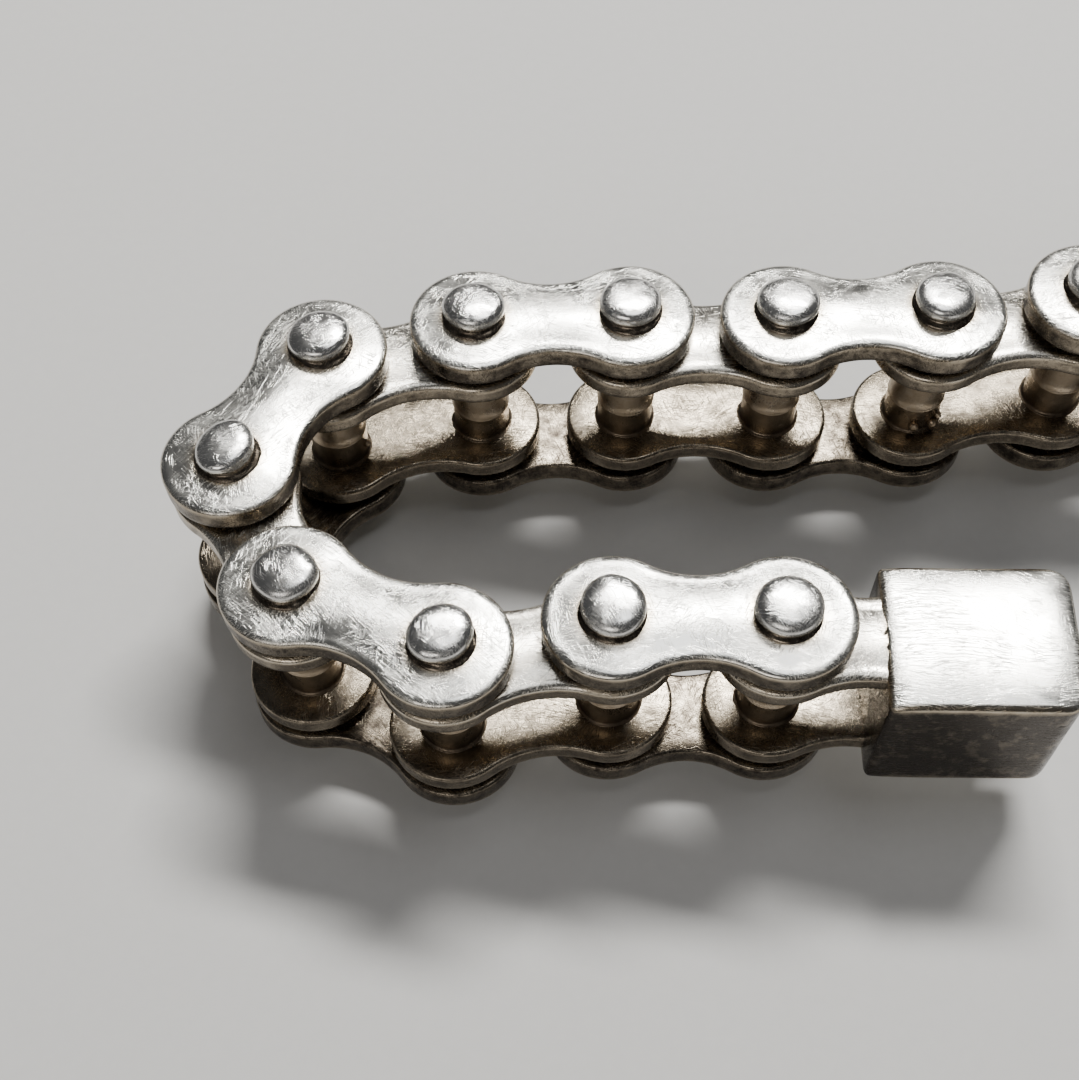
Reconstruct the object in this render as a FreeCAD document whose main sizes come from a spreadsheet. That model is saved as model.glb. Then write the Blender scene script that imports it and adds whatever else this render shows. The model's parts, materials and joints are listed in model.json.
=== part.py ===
"""Silver bracelet made as a heavy drive chain, with a box clasp.

The bracelet lies on its side, unfastened, with its pins upright. +Z is up and
the domed pin heads stand on z = 0. The origin is the middle of the bounding
box, on the surface that the bracelet lies on. Millimetres and degrees.

The chain runs from the clasp box along the front row to the left, round a
bend, back along the rear row to the right, and ends in the tongue that snaps
into the box. Outer links (two plates and two pins) alternate with inner links
(two plates and two bushes that turn on the pins).
"""
import FreeCAD, Part
import math
import os
import Sketcher
from FreeCAD import Placement, Rotation, Vector

doc = FreeCAD.newDocument("drive_chain_bracelet")

# ---------------------------------------------------------------- dimensions
# The driving dimensions: alias, value, meaning.
DIMENSIONS = [
    ("pitch", 12.0, "distance between the two pins of a link"),
    ("outer_lobe", 5.05, "radius of the round ends of an outer plate"),
    ("inner_lobe", 4.9, "radius of the round ends of an inner plate"),
    ("waist_half", 3.45, "half the width of a plate between its round ends"),
    ("outer_thickness", 2.4, "outer plate"),
    ("inner_thickness", 2.1, "inner plate"),
    ("inner_gap", 7.8, "clear height between the inner plates"),
    ("axial_play", 0.3, "gap between an outer plate and the inner plate beside it"),
    ("plate_round", 0.75, "softened outside edge of a plate"),
    ("plate_break", 0.3, "softened inside edge of a plate"),
    ("pin_radius", 1.6, "pin shaft"),
    ("bush_bore", 1.66, "radius of the bush bore, a running fit on the pin"),
    ("bush_radius", 2.3, "bush outside"),
    ("neck_radius", 2.0, "undercut below a pin head"),
    ("neck_height", 0.4, "height of that undercut"),
    ("head_radius", 2.35, "pin head"),
    ("rim_height", 0.45, "straight rim of a pin head"),
    ("dome_height", 0.75, "dome above the rim"),
    ("land_radius", 0.7, "flat worn on the crown of the dome"),
    ("block_offset", 7.15, "last pin to the clasp box or the tongue block"),
    ("block_width", 11.8, "clasp box and tongue block across the chain"),
    ("block_edge", 0.45, "softened long edges of both blocks"),
    ("box_length", 13.7, "clasp box along the chain"),
    ("box_corner", 1.7, "upright corners at the mouth of the box"),
    ("cavity_depth", 9.0, "hollow of the box, from its mouth"),
    ("cavity_width", 8.4, "hollow of the box, across"),
    ("cavity_top", 2.9, "roof of the hollow above the middle of the chain"),
    ("cavity_floor", 2.8, "floor of the hollow below the middle of the chain"),
    ("lip_thickness", 1.6, "lip that the spring leaf snaps behind"),
    ("lip_height", 1.2, "height of that lip above the floor of the hollow"),
    ("notch_width", 3.4, "notches that the thumb tab stands in"),
    ("box_notch", 2.4, "depth of the notch in the box, along the chain"),
    ("tongue_block_length", 4.6, "block that carries the tongue"),
    ("block_notch", 1.7, "depth of the notch in the tongue block"),
    ("notch_top", 0.1, "top of that notch below the middle of the chain"),
    ("leaf_thickness", 0.9, "sheet that the tongue is bent from"),
    ("leaf_width", 8.0, "tongue, across"),
    ("leaf_top", 2.8, "top of the tongue above the middle of the chain"),
    ("leaf_slot", 1.4, "depth that the base leaf is let into the block"),
    ("fold_radius", 1.35, "outside of the fold at the tip of the tongue"),
    ("fold_reach", 6.85, "centre of the fold, from the tongue block"),
    ("fold_gap", 6.0, "angle left open between the fold and the spring leaf"),
    ("spring_slope", 28.0, "angle of the spring leaf to the base leaf at rest"),
    ("spring_start", 1.9, "free end of the spring leaf, from the block"),
    ("tab_width", 2.6, "thumb tab, across"),
    ("tab_reach", 0.6, "front of the thumb tab, from the block"),
    ("tab_drop", 7.1, "foot of the thumb tab below the middle of the chain"),
]

# How the chain lies: the direction of each link, anticlockwise from +X, from
# the clasp box round to the tongue. Even entries are outer links.
LINK_HEADINGS = [
    177.6, 188.2, 154.0, 113.8, 57.3, 11.6, -0.2, -2.4,
    -0.3, 5.6, -5.0, -21.0, -39.0, -59.0, -79.0,
]
BOX_HEADING = -3.0
TONGUE_HEADING = -97.0


class Amount:
    """A length or an angle: its value now and its expression in the sheet."""

    def __init__(self, value, text=None):
        self.value = float(value)
        self.text = text if text is not None else f"{float(value)}"

    def __add__(self, other):
        return Amount(self.value + other.value, f"({self.text} + {other.text})")

    def __sub__(self, other):
        return Amount(self.value - other.value, f"({self.text} - {other.text})")

    def __mul__(self, other):
        other = other if isinstance(other, Amount) else Amount(other)
        return Amount(self.value * other.value, f"({self.text} * {other.text})")

    def __truediv__(self, other):
        other = other if isinstance(other, Amount) else Amount(other)
        return Amount(self.value / other.value, f"({self.text} / {other.text})")

    def __neg__(self):
        return Amount(-self.value, f"(-1 * {self.text})")


def cosine(angle):
    """Cosine of an Amount in degrees."""
    return Amount(math.cos(math.radians(angle.value)), f"cos({angle.text} * 1 deg)")


def sine(angle):
    """Sine of an Amount in degrees."""
    return Amount(math.sin(math.radians(angle.value)), f"sin({angle.text} * 1 deg)")


def make_sheet():
    """Write the dimensions into the sheet and return them as Amounts by alias."""
    sheet = doc.addObject("Spreadsheet::Sheet", "Sizes")
    sheet.Label = "Sizes"
    amounts = {}
    for row, (alias, value, meaning) in enumerate(DIMENSIONS, start=1):
        sheet.set(f"A{row}", meaning)
        sheet.set(f"B{row}", str(value))
        sheet.setAlias(f"B{row}", alias)
        amounts[alias] = Amount(value, "Sizes." + alias)
    doc.recompute()
    return amounts


size = make_sheet()

# Heights above the middle of the chain, and lengths that follow from others.
ZERO = Amount(0)
INNER_INSIDE = size["inner_gap"] / 2
INNER_FACE = INNER_INSIDE + size["inner_thickness"]
OUTER_INSIDE = INNER_FACE + size["axial_play"]
OUTER_FACE = OUTER_INSIDE + size["outer_thickness"]
HEAD_HEIGHT = size["neck_height"] + size["rim_height"] + size["dome_height"]
MIDDLE_HEIGHT = (OUTER_FACE + HEAD_HEIGHT).value
BOX_END = size["block_offset"] + size["box_length"]
TONGUE_END = size["block_offset"] + size["tongue_block_length"]


def along(heading, distance):
    """Vector of the given length in the direction of a heading."""
    angle = math.radians(heading)
    return Vector(distance * math.cos(angle), distance * math.sin(angle), 0)


def square_end(pin, heading, reach, half):
    """The two corners of something square that ends at a reach from a pin."""
    forward = along(heading, reach.value)
    sideways = along(heading + 90, half.value)
    return [pin + forward + sideways, pin + forward - sideways]


def chain_pins():
    """Pin centres from the clasp box to the tongue, centred on the bracelet's outline."""
    pins = [Vector(0, 0, 0)]
    for heading in LINK_HEADINGS:
        pins.append(pins[-1] + along(heading, size["pitch"].value))
    block_half = size["block_width"] / 2
    tip = TONGUE_END + size["fold_reach"] + size["fold_radius"]
    edge = square_end(pins[0], BOX_HEADING, BOX_END, block_half)
    edge += square_end(pins[-1], TONGUE_HEADING, size["block_offset"], block_half)
    edge += square_end(pins[-1], TONGUE_HEADING, TONGUE_END, block_half)
    edge += square_end(pins[-1], TONGUE_HEADING, tip, size["leaf_width"] / 2)
    lobe = size["outer_lobe"].value
    for pin in pins:
        edge += [pin + Vector(lobe, lobe, 0), pin - Vector(lobe, lobe, 0)]
    middle_x = (min(point.x for point in edge) + max(point.x for point in edge)) / 2
    middle_y = (min(point.y for point in edge) + max(point.y for point in edge)) / 2
    return [pin + Vector(-middle_x, -middle_y, MIDDLE_HEIGHT) for pin in pins]


PINS = chain_pins()
NODES = []


# ------------------------------------------------------------------- helpers
def new_body(label):
    """An empty body that becomes one node."""
    body = doc.addObject("PartDesign::Body", "Body_" + label)
    body.Label = label
    body.AllowCompound = True
    NODES.append(body)
    return body


def origin_feature(body, role):
    """One of a body's own origin planes or axes."""
    return [feature for feature in body.Origin.OriginFeatures if feature.Role == role][0]


def new_sketch(body, name, role, offset=None):
    """A sketch on an origin plane, moved along the plane's normal by an Amount."""
    sketch = body.newObject("Sketcher::SketchObject", f"{name}_{body.Label}")
    sketch.AttachmentSupport = [(origin_feature(body, role), "")]
    sketch.MapMode = "FlatFace"
    if offset is not None:
        sketch.setExpression("AttachmentOffset.Base.z", offset.text)
    return sketch


def bind(sketch, kind, *arguments, amount=None):
    """Add a constraint and tie its value to the sheet."""
    if amount is None:
        return sketch.addConstraint(Sketcher.Constraint(kind, *arguments))
    index = sketch.addConstraint(Sketcher.Constraint(kind, *arguments, amount.value))
    sketch.setExpression(f"Constraints[{index}]", amount.text)
    return index


def place_point(sketch, piece, end, across, above):
    """Tie one point of a sketch to its two coordinates."""
    if abs(across.value) < 1e-9:
        bind(sketch, "PointOnObject", piece, end, -2)
    else:
        bind(sketch, "DistanceX", -1, 1, piece, end, amount=across)
    if abs(above.value) < 1e-9:
        bind(sketch, "PointOnObject", piece, end, -1)
    else:
        bind(sketch, "DistanceY", -1, 1, piece, end, amount=above)


def closed_profile(sketch, corners, arcs=None):
    """A closed outline through the corners, which are pairs of Amounts.

    arcs names the pieces that are arcs, by the number of the corner where
    each starts, and gives each one's radius and centre.
    """
    arcs = arcs or {}
    points = [Vector(across.value, above.value, 0) for across, above in corners]
    count = len(points)
    first = []
    for number, start in enumerate(points):
        end = points[(number + 1) % count]
        if number in arcs:
            radius, across, above = arcs[number]
            centre = Vector(across.value, above.value, 0)
            forward = (start - centre).cross(end - centre).z > 0
            low, high = (start, end) if forward else (end, start)
            circle = Part.Circle(centre, Vector(0, 0, 1), radius.value)
            sketch.addGeometry(Part.ArcOfCircle(circle, turn_to(centre, low),
                                                turn_to(centre, high)), False)
            first.append(1 if forward else 2)
        else:
            sketch.addGeometry(Part.LineSegment(start, end), False)
            first.append(1)
    for number in range(count):
        following = (number + 1) % count
        bind(sketch, "Coincident", number, 3 - first[number], following, first[following])
        place_point(sketch, number, first[number], *corners[number])
    for number, arc in arcs.items():
        bind(sketch, "Radius", number, amount=arc[0])


def turn_to(centre, point):
    """Angle of a point about a centre, in radians."""
    return math.atan2(point.y - centre.y, point.x - centre.x)


def rectangle(sketch, low_x, high_x, low_y, high_y):
    """A rectangle tied to the sheet on all four sides."""
    closed_profile(sketch, [(low_x, low_y), (low_x, high_y), (high_x, high_y), (high_x, low_y)])


def add_pad(body, sketch, length, midplane=False, reverse=False):
    """A pad whose length is an Amount."""
    pad = body.newObject("PartDesign::Pad", "Pad_" + body.Label)
    pad.Profile = sketch
    pad.setExpression("Length", length.text)
    pad.Midplane = midplane
    pad.Reversed = reverse
    return pad


def add_pocket(body, name, sketch, length, midplane=False, reverse=False):
    """A pocket whose length is an Amount; it has to remove material."""
    doc.recompute()
    before = body.Shape.Volume
    pocket = body.newObject("PartDesign::Pocket", f"{name}_{body.Label}")
    pocket.Profile = sketch
    pocket.setExpression("Length", length.text)
    pocket.Midplane = midplane
    pocket.Reversed = reverse
    doc.recompute()
    if body.Shape.Volume > before - 0.01:
        raise ValueError(f"{name} removes nothing from {body.Label}")
    return pocket


def add_fillet(body, name, radius, chosen):
    """Round the edges of the body's last feature that a test chooses."""
    doc.recompute()
    base = body.Tip
    edges = [f"Edge{i}" for i, edge in enumerate(base.Shape.Edges, start=1) if chosen(edge)]
    if not edges:
        raise ValueError(f"{name} finds no edge on {body.Label}")
    fillet = body.newObject("PartDesign::Fillet", f"{name}_{body.Label}")
    fillet.Base = (base, edges)
    fillet.setExpression("Radius", radius.text)
    return fillet


def repeat_at_other_pin(body, feature):
    """Repeat a feature one pitch along the link."""
    doc.recompute()
    pattern = body.newObject("PartDesign::LinearPattern", "Pair_" + body.Label)
    pattern.Originals = [feature]
    pattern.Direction = (origin_feature(body, "X_Axis"), [""])
    pattern.setExpression("Length", size["pitch"].text)
    pattern.Occurrences = 2
    body.Tip = pattern
    return pattern


def place(bodies, pin, heading):
    """Set bodies that were built in a link's own frame down where that link lies."""
    for body in bodies:
        body.Placement = Placement(pin, Rotation(Vector(0, 0, 1), heading))


# -------------------------------------------------------------------- plates
def figure_eight(sketch, lobe, hole):
    """Outline of a plate: two round ends joined by a hollow waist, with two holes.

    One pin is at the sketch's origin and the other one pitch along X. The
    waist is a pair of arcs that run smoothly into both round ends.
    """
    reach = size["pitch"] / 2
    half = size["waist_half"]
    waist = (reach * reach - lobe * lobe + half * half) / ((lobe - half) * 2)
    lean = math.asin(reach.value / (lobe.value + waist.value))
    quarter = math.pi / 2
    up = Vector(0, 0, 1)
    far = Vector(size["pitch"].value, 0, 0)
    above = Vector(reach.value, half.value + waist.value, 0)
    below = Vector(reach.value, -half.value - waist.value, 0)

    def add_arc(centre, radius, first, last):
        circle = Part.Circle(centre, up, radius.value)
        sketch.addGeometry(Part.ArcOfCircle(circle, first, last), False)

    add_arc(Vector(0, 0, 0), lobe, quarter - lean, 3 * quarter + lean)
    add_arc(far, lobe, -quarter - lean, quarter + lean)
    add_arc(above, waist, -quarter - lean, -quarter + lean)
    add_arc(below, waist, quarter - lean, quarter + lean)
    sketch.addGeometry(Part.Circle(Vector(0, 0, 0), up, hole.value), False)
    sketch.addGeometry(Part.Circle(far, up, hole.value), False)
    bind(sketch, "Tangent", 0, 1, 2, 1)
    bind(sketch, "Tangent", 2, 2, 1, 2)
    bind(sketch, "Tangent", 1, 1, 3, 1)
    bind(sketch, "Tangent", 3, 2, 0, 2)
    bind(sketch, "Coincident", 0, 3, -1, 1)
    bind(sketch, "PointOnObject", 1, 3, -1)
    bind(sketch, "DistanceX", -1, 1, 1, 3, amount=size["pitch"])
    bind(sketch, "Radius", 0, amount=lobe)
    bind(sketch, "Equal", 0, 1)
    bind(sketch, "Radius", 2, amount=waist)
    bind(sketch, "Equal", 2, 3)
    bind(sketch, "Coincident", 4, 3, 0, 3)
    bind(sketch, "Coincident", 5, 3, 1, 3)
    bind(sketch, "Radius", 4, amount=hole)
    bind(sketch, "Equal", 4, 5)


def make_plate(label, kind, side, half_link=False):
    """One plate at its own height in the link's frame.

    kind is outer or inner. side is 1 for the plate above the middle of the
    chain and -1 for the one below. A half link ends flat on a clasp block.
    """
    inside = OUTER_INSIDE if kind == "outer" else INNER_INSIDE
    thickness = size[kind + "_thickness"]
    hole = size["pin_radius"] if kind == "outer" else size["bush_radius"]
    body = new_body(label)
    sketch = new_sketch(body, "Outline", "XY_Plane", inside * side)
    figure_eight(sketch, size[kind + "_lobe"], hole)
    add_pad(body, sketch, thickness, reverse=side < 0)
    if half_link:
        cut = new_sketch(body, "Cut", "XY_Plane")
        width = size["pitch"]
        rectangle(cut, size["block_offset"], width * 2, -width, width)
        add_pocket(body, "End", cut, width * 4, midplane=True)

    def outline_at(height):
        """Test for the plate's outline at a height, without holes and sawn end."""
        def chosen(edge):
            flat = all(abs(vertex.Z - height.value) < 1e-4 for vertex in edge.Vertexes)
            round_edge = hasattr(edge.Curve, "Radius")
            return flat and round_edge and edge.Curve.Radius > hole.value + 0.01
        return chosen

    add_fillet(body, "Outside", size["plate_round"], outline_at((inside + thickness) * side))
    add_fillet(body, "Inside", size["plate_break"], outline_at(inside * side))
    return body


# ---------------------------------------------------------- pins and bushes
def make_pins(label):
    """The two riveted pins of an outer link: domed heads on undercut necks."""
    body = new_body(label)
    sketch = new_sketch(body, "Section", "XZ_Plane")
    rim_low = OUTER_FACE + size["neck_height"]
    rim_high = rim_low + size["rim_height"]
    crown = OUTER_FACE + HEAD_HEIGHT
    upper = [
        (ZERO, crown),
        (size["land_radius"], crown),
        (size["head_radius"], rim_high),
        (size["head_radius"], rim_low),
        (size["neck_radius"], rim_low),
        (size["neck_radius"], OUTER_FACE),
        (size["pin_radius"], OUTER_FACE),
    ]
    lower = [(radius, -height) for radius, height in reversed(upper)]
    reach = size["head_radius"] - size["land_radius"]
    drop = size["dome_height"]
    dome = (reach * reach + drop * drop) / (drop * 2)
    centre = crown - dome
    arcs = {1: (dome, size["land_radius"], centre), 11: (dome, size["land_radius"], -centre)}
    closed_profile(sketch, upper + lower, arcs)
    spin = body.newObject("PartDesign::Revolution", "Turned_" + label)
    spin.Profile = sketch
    spin.ReferenceAxis = (sketch, ["V_Axis"])
    spin.Angle = 360
    repeat_at_other_pin(body, spin)
    return body


def make_bushes(label, pair=True):
    """Tube bushes of an inner link, which reach through both inner plates."""
    body = new_body(label)
    sketch = new_sketch(body, "Section", "XY_Plane")
    for radius in (size["bush_radius"], size["bush_bore"]):
        circle = Part.Circle(Vector(0, 0, 0), Vector(0, 0, 1), radius.value)
        ring = sketch.addGeometry(circle, False)
        bind(sketch, "Coincident", ring, 3, -1, 1)
        bind(sketch, "Radius", ring, amount=radius)
    pad = add_pad(body, sketch, INNER_FACE * 2, midplane=True)
    if pair:
        repeat_at_other_pin(body, pad)
    return body


# --------------------------------------------------------------------- clasp
def make_block(label, length):
    """A block with softened long edges, built from its flat end outwards."""
    body = new_body(label)
    sketch = new_sketch(body, "Outline", "XY_Plane")
    half = size["block_width"] / 2
    start = size["block_offset"]
    rectangle(sketch, start, start + length, -half, half)
    add_pad(body, sketch, INNER_FACE * 2, midplane=True)
    return body


def soften_long_edges(body):
    """Round the top and bottom edges of a block, all but those of its flat end."""
    start = size["block_offset"].value + 0.01

    def chosen(edge):
        flat = abs(abs(edge.Vertexes[0].Z) - INNER_FACE.value) < 1e-4
        level = abs(edge.Vertexes[0].Z - edge.Vertexes[-1].Z) < 1e-4
        return flat and level and any(vertex.X > start for vertex in edge.Vertexes)

    add_fillet(body, "Edges", size["block_edge"], chosen)


def cut_notch(body, end, depth, top):
    """Notch for the thumb tab, from a height down through the underside."""
    half = size["notch_width"] / 2
    sketch = new_sketch(body, "Notch", "XY_Plane", -top)
    rectangle(sketch, end - depth, end + size["pitch"], -half, half)
    add_pocket(body, "Notched", sketch, INNER_FACE * 2)


def make_clasp_box(label):
    """Hollow box: mouth at the far end, with a lip across the bottom of the mouth."""
    body = make_block(label, size["box_length"])

    def mouth_corner(edge):
        upright = abs(edge.Vertexes[0].Z - edge.Vertexes[-1].Z) > 1
        return upright and all(vertex.X > BOX_END.value - 0.01 for vertex in edge.Vertexes)

    add_fillet(body, "Corners", size["box_corner"], mouth_corner)
    soften_long_edges(body)
    lip_top = size["lip_height"] - size["cavity_floor"]
    back = BOX_END - size["cavity_depth"]
    lip_back = BOX_END - size["lip_thickness"]
    outside = BOX_END + size["pitch"]
    hollow = new_sketch(body, "Hollow", "XZ_Plane")
    closed_profile(hollow, [
        (back, size["cavity_top"]),
        (outside, size["cavity_top"]),
        (outside, lip_top),
        (lip_back, lip_top),
        (lip_back, -size["cavity_floor"]),
        (back, -size["cavity_floor"]),
    ])
    add_pocket(body, "Hollowed", hollow, size["cavity_width"], midplane=True)
    cut_notch(body, BOX_END, size["box_notch"], size["cavity_floor"] - size["lip_height"])
    return body


def make_tongue_block(label):
    """Block that carries the tongue: a slot for its base leaf and a notch for the tab."""
    body = make_block(label, size["tongue_block_length"])
    soften_long_edges(body)
    slot = new_sketch(body, "Slot", "XZ_Plane")
    low = size["leaf_top"] - size["leaf_thickness"]
    rectangle(slot, TONGUE_END - size["leaf_slot"], TONGUE_END + size["pitch"],
              low, size["leaf_top"])
    add_pocket(body, "Slotted", slot, size["leaf_width"], midplane=True)
    cut_notch(body, TONGUE_END, size["block_notch"], size["notch_top"])
    return body


FOLD_X = TONGUE_END + size["fold_reach"]
FOLD_Z = size["leaf_top"] - size["fold_radius"]
FOLD_INSIDE = size["fold_radius"] - size["leaf_thickness"]
SPRING_ANGLE = Amount(90, "90") - size["spring_slope"]


def on_fold(radius, angle):
    """Point at a radius from the centre of the fold, at an angle below +X."""
    return FOLD_X + radius * cosine(angle), FOLD_Z - radius * sine(angle)


def make_base_leaf(label):
    """Base leaf of the tongue, let into its block, with the fold at its tip."""
    body = new_body(label)
    sketch = new_sketch(body, "Section", "XZ_Plane")
    top = size["leaf_top"]
    under = top - size["leaf_thickness"]
    start = TONGUE_END - size["leaf_slot"]
    end_angle = SPRING_ANGLE - size["fold_gap"]
    corners = [
        (start, top),
        (FOLD_X, top),
        on_fold(size["fold_radius"], end_angle),
        on_fold(FOLD_INSIDE, end_angle),
        (FOLD_X, under),
        (start, under),
    ]
    fold = (FOLD_X, FOLD_Z)
    closed_profile(sketch, corners, {1: (size["fold_radius"], *fold), 3: (FOLD_INSIDE, *fold)})
    add_pad(body, sketch, size["leaf_width"], midplane=True)
    return body


def make_spring_leaf(label):
    """Spring leaf: the sheet's second half, straight back from the fold and down."""
    body = new_body(label)
    sketch = new_sketch(body, "Section", "XZ_Plane")
    slope = size["spring_slope"]
    root_out = on_fold(size["fold_radius"], SPRING_ANGLE)
    root_in = on_fold(FOLD_INSIDE, SPRING_ANGLE)
    end = TONGUE_END + size["spring_start"]

    def run_down(point):
        """Where the straight sheet through a point reaches its free end."""
        fall = (point[0] - end) * sine(slope) / cosine(slope)
        return end, point[1] - fall

    closed_profile(sketch, [root_in, root_out, run_down(root_out), run_down(root_in)])
    add_pad(body, sketch, size["leaf_width"], midplane=True)
    return body


def make_thumb_tab(label):
    """Thumb tab: a narrow tail of the spring leaf, bent straight down."""
    body = new_body(label)
    sketch = new_sketch(body, "Section", "XZ_Plane")
    sheet_back = TONGUE_END + size["spring_start"]
    front = TONGUE_END + size["tab_reach"]
    back = front + size["leaf_thickness"]
    slope = size["spring_slope"]
    root_in = on_fold(FOLD_INSIDE, SPRING_ANGLE)
    fall = (root_in[0] - sheet_back) * sine(slope) / cosine(slope)
    top = root_in[1] - fall
    bottom = top - size["leaf_thickness"]
    closed_profile(sketch, [
        (front, top),
        (sheet_back, top),
        (sheet_back, bottom),
        (back, bottom),
        (back, -size["tab_drop"]),
        (front, -size["tab_drop"]),
    ])
    add_pad(body, sketch, size["tab_width"], midplane=True)
    return body


# ------------------------------------------------------------------ assembly
def make_outer_link(number, pin, heading):
    """Two plates and two pins."""
    name = f"outer_{number}"
    bodies = [
        make_plate(name + "_plate_top", "outer", 1),
        make_plate(name + "_plate_bottom", "outer", -1),
        make_pins(name + "_pins"),
    ]
    place(bodies, pin, heading)


def make_inner_link(number, pin, heading):
    """Two plates and the two bushes that hold them apart."""
    name = f"inner_{number}"
    bodies = [
        make_plate(name + "_plate_top", "inner", 1),
        make_plate(name + "_plate_bottom", "inner", -1),
        make_bushes(name + "_bushes"),
    ]
    place(bodies, pin, heading)


def make_half_link(name):
    """Two plates that end on a clasp block, and one bush."""
    return [
        make_plate(name + "_plate_top", "inner", 1, half_link=True),
        make_plate(name + "_plate_bottom", "inner", -1, half_link=True),
        make_bushes(name + "_bush", pair=False),
    ]


def make_bracelet():
    """Every node, from the clasp box round to the tongue."""
    clasp = [make_clasp_box("clasp_box")] + make_half_link("clasp_box")
    place(clasp, PINS[0], BOX_HEADING)
    for step, heading in enumerate(LINK_HEADINGS):
        make_link = make_inner_link if step % 2 else make_outer_link
        make_link(step // 2 + 1, PINS[step], heading)
    tongue = [make_tongue_block("tongue_block")] + make_half_link("tongue_block")
    tongue.append(make_base_leaf("tongue_base_leaf"))
    tongue.append(make_spring_leaf("tongue_spring_leaf"))
    tongue.append(make_thumb_tab("tongue_thumb_tab"))
    place(tongue, PINS[-1], TONGUE_HEADING)


def check_and_write():
    """Stop on any failed feature or shape, then write one STEP file per node."""
    doc.recompute()
    for item in doc.Objects:
        if "Invalid" in item.State or "Error" in item.State:
            raise ValueError(f"{item.Name} ({item.Label}) is {item.State}")
    for body in NODES:
        if body.Shape.isNull() or not body.Shape.isValid() or not body.Shape.Solids:
            raise ValueError(f"{body.Label} has no valid shape")
    os.makedirs("parts", exist_ok=True)
    for body in NODES:
        body.Shape.exportStep(f"parts/{body.Label}.step")
    print(len(NODES), "nodes written")


make_bracelet()
check_and_write()
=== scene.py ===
"""Looks of the silver drive chain bracelet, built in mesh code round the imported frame."""
import json
import math
import random

import bpy
from mathutils import Matrix, Vector, noise

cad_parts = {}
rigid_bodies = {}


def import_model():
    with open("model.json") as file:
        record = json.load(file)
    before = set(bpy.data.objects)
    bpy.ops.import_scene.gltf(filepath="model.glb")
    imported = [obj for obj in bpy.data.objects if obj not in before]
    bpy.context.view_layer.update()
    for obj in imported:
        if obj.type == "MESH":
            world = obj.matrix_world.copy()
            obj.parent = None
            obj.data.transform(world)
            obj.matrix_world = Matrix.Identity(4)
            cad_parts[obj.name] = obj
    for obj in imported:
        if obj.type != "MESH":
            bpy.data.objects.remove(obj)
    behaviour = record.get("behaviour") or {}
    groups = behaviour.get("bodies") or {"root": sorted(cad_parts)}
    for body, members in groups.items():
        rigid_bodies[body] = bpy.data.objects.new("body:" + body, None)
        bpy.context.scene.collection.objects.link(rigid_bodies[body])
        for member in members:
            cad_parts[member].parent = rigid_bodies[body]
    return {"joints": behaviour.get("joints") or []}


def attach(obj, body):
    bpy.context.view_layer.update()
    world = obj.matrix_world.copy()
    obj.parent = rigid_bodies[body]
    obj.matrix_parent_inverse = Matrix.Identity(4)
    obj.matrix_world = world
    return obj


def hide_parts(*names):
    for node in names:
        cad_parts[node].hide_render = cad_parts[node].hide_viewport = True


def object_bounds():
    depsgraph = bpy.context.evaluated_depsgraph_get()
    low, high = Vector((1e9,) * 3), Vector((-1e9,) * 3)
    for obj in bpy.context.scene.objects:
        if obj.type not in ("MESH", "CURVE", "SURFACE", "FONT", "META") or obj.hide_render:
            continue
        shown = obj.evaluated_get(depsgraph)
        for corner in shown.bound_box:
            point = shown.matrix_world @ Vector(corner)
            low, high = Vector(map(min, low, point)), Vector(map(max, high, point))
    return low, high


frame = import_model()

CAD_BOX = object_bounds()
MM = 0.001

# ---------------------------------------------------------------- sizes, in mm
# The sizes of the CAD solids that these pieces stand for. Heights are above the
# middle of the chain, and lengths are from the first pin of a link.
PITCH = 12.0
OUTER_LOBE = 5.05
INNER_LOBE = 4.9
WAIST_HALF = 3.45
INNER_INSIDE = 3.9
INNER_FACE = 6.0
OUTER_INSIDE = 6.3
OUTER_FACE = 8.7
CROWN = 10.3
PIN_RADIUS = 1.6
BUSH_RADIUS = 2.3
BUSH_BORE = 1.66
BLOCK_START = 7.15
BLOCK_HALF_WIDTH = 5.9
BOX_END = 20.85
CAVITY_DEPTH = 9.0
CAVITY_HALF_WIDTH = 4.2
CAVITY_TOP = 2.9
CAVITY_FLOOR = -2.8
LIP_TOP = -1.6
LIP_THICKNESS = 1.6
NOTCH_HALF_WIDTH = 1.7
BOX_NOTCH_DEPTH = 2.4
TONGUE_END = 11.75
TONGUE_NOTCH_DEPTH = 1.7
TONGUE_NOTCH_TOP = -0.1
LEAF_THICKNESS = 0.9
LEAF_WIDTH = 8.0
LEAF_LEVEL = 2.35
FOLD_X = 18.6
FOLD_Z = 1.45
FOLD_MIDDLE = 0.9
SPRING_ANGLE = math.radians(62)
FOLD_GAP = math.radians(6)
SPRING_SLOPE = math.radians(28)
SPRING_END = 13.65
TAB_WIDTH = 2.6
TAB_MIDDLE = 12.8
TAB_FOOT = -7.1

# Sizes of the looks alone: how far parts run on inside a block, softer corners,
# the reach of the notch cutter, and the thumb tab's bend and grooves.
HALF_PLATE_IN_BLOCK = 1.4
HALF_SPINE_IN_BLOCK = 0.15
LEAF_IN_BLOCK = 1.3
BOX_CORNER = 1.6
MOUTH_CORNER = 0.3
CAVITY_LINING = 0.12
NOTCH_FOOT = -9.0
NOTCH_PAST_END = 2.0
TAB_BEND = 0.5
TAB_STEP = 0.2
GROOVE_DEPTH = 0.14
GROOVES_FROM = 20

# Headings of the two end links, whose blocks have no second hinge to aim at.
BOX_HEADING = math.radians(-3.0)
TONGUE_HEADING = math.radians(-97.0)

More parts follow.
